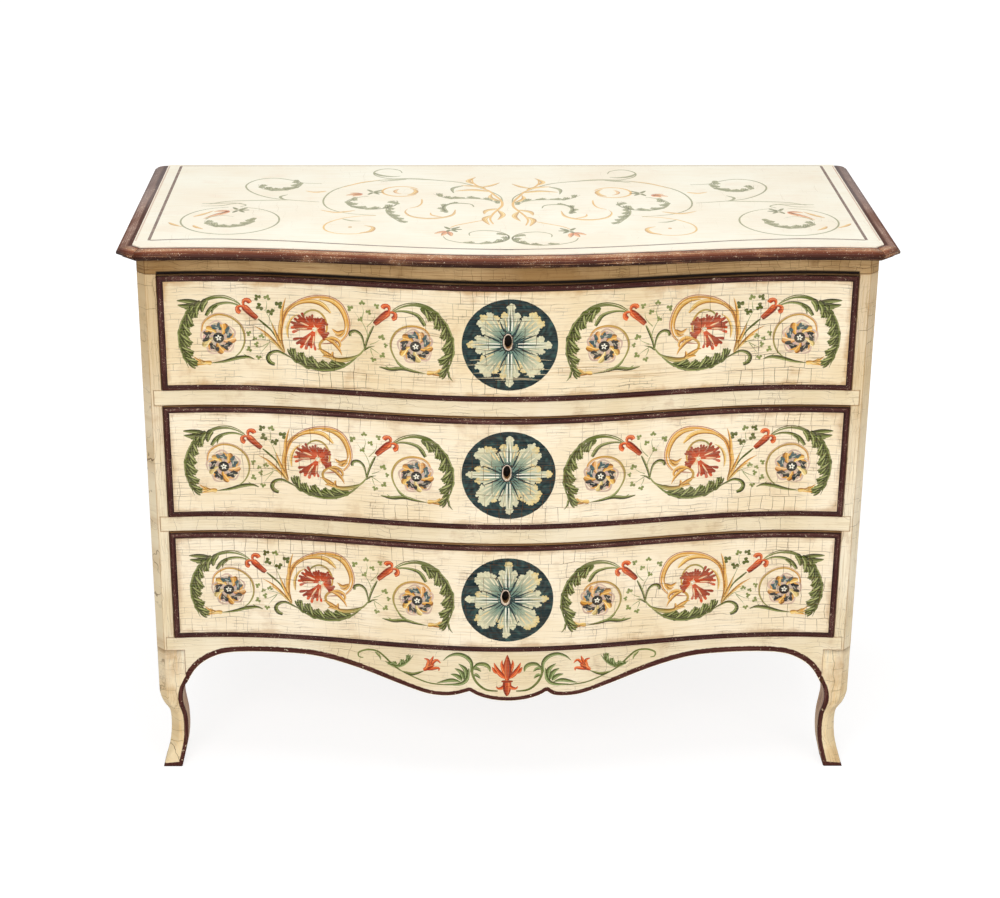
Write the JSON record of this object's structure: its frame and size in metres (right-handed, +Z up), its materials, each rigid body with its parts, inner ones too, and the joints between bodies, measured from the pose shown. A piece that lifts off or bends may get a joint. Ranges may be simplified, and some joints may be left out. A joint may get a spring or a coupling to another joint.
{
  "type": "chest of drawers",
  "caption": "Painted commode with a serpentine front, canted corners, moulded top, long drawers with locks, scalloped apron and cabriole feet.",
  "frame": {"origin": "on the floor, under the middle of the top", "axes": "+X to the right across the front, +Y from the front to the back, +Z up"},
  "size_m": [1.2, 0.556, 0.9128],
  "materials": {
    "painted_case": "old cream paint, crazed",
    "painted_drawer": "old cream paint, crazed, with painted scrolls and a rosette",
    "plum_edging": "worn plum-brown paint",
    "bare_wood": "old softwood, unpainted",
    "iron": "old iron"
  },
  "bodies": {
    "carcass": {"top_board": "painted_case", "top_rail": "painted_case", "upper_divider_rail": "painted_case", "lower_divider_rail": "painted_case", "bottom_rail": "painted_case", "apron": "painted_case", "left_front_post": "painted_case", "right_front_post": "painted_case", "left_back_post": "painted_case", "right_back_post": "painted_case", "left_side": "painted_case", "right_side": "painted_case", "left_front_foot": "painted_case", "right_front_foot": "painted_case", "left_back_foot": "painted_case", "right_back_foot": "painted_case", "left_side_apron": "painted_case", "right_side_apron": "painted_case", "top_moulding_front": "plum_edging", "top_moulding_left": "plum_edging", "top_moulding_right": "plum_edging", "top_moulding_left_corner": "plum_edging", "top_moulding_right_corner": "plum_edging", "back_board_1": "bare_wood", "back_board_2": "bare_wood", "back_board_3": "bare_wood", "bottom_board": "bare_wood", "left_runner_1": "bare_wood", "right_runner_1": "bare_wood", "left_runner_2": "bare_wood", "right_runner_2": "bare_wood", "left_runner_3": "bare_wood", "right_runner_3": "bare_wood", "left_kicker": "bare_wood", "right_kicker": "bare_wood"},
    "drawer_1": {"drawer_1_front": "painted_drawer", "drawer_1_bead": "plum_edging", "drawer_1_left_side": "bare_wood", "drawer_1_right_side": "bare_wood", "drawer_1_back": "bare_wood", "drawer_1_bottom": "bare_wood", "drawer_1_lock": "iron"},
    "bolt_1": {"drawer_1_lock_bolt": "iron"},
    "drawer_2": {"drawer_2_front": "painted_drawer", "drawer_2_bead": "plum_edging", "drawer_2_left_side": "bare_wood", "drawer_2_right_side": "bare_wood", "drawer_2_back": "bare_wood", "drawer_2_bottom": "bare_wood", "drawer_2_lock": "iron"},
    "bolt_2": {"drawer_2_lock_bolt": "iron"},
    "drawer_3": {"drawer_3_front": "painted_drawer", "drawer_3_bead": "plum_edging", "drawer_3_left_side": "bare_wood", "drawer_3_right_side": "bare_wood", "drawer_3_back": "bare_wood", "drawer_3_bottom": "bare_wood", "drawer_3_lock": "iron"},
    "bolt_3": {"drawer_3_lock_bolt": "iron"}
  },
  "joints": [
    {"name": "drawer_1_slide", "type": "slide", "parent": "carcass", "child": "drawer_1", "axis": [0, -1, 0], "range_m": [0, 0.36]},
    {"name": "lock_bolt_1_slide", "type": "slide", "parent": "drawer_1", "child": "bolt_1", "axis": [0, 0, 1], "range_m": [0, 0.009]},
    {"name": "drawer_2_slide", "type": "slide", "parent": "carcass", "child": "drawer_2", "axis": [0, -1, 0], "range_m": [0, 0.36]},
    {"name": "lock_bolt_2_slide", "type": "slide", "parent": "drawer_2", "child": "bolt_2", "axis": [0, 0, 1], "range_m": [0, 0.009]},
    {"name": "drawer_3_slide", "type": "slide", "parent": "carcass", "child": "drawer_3", "axis": [0, -1, 0], "range_m": [0, 0.36]},
    {"name": "lock_bolt_3_slide", "type": "slide", "parent": "drawer_3", "child": "bolt_3", "axis": [0, 0, 1], "range_m": [0, 0.009]}
  ]
}
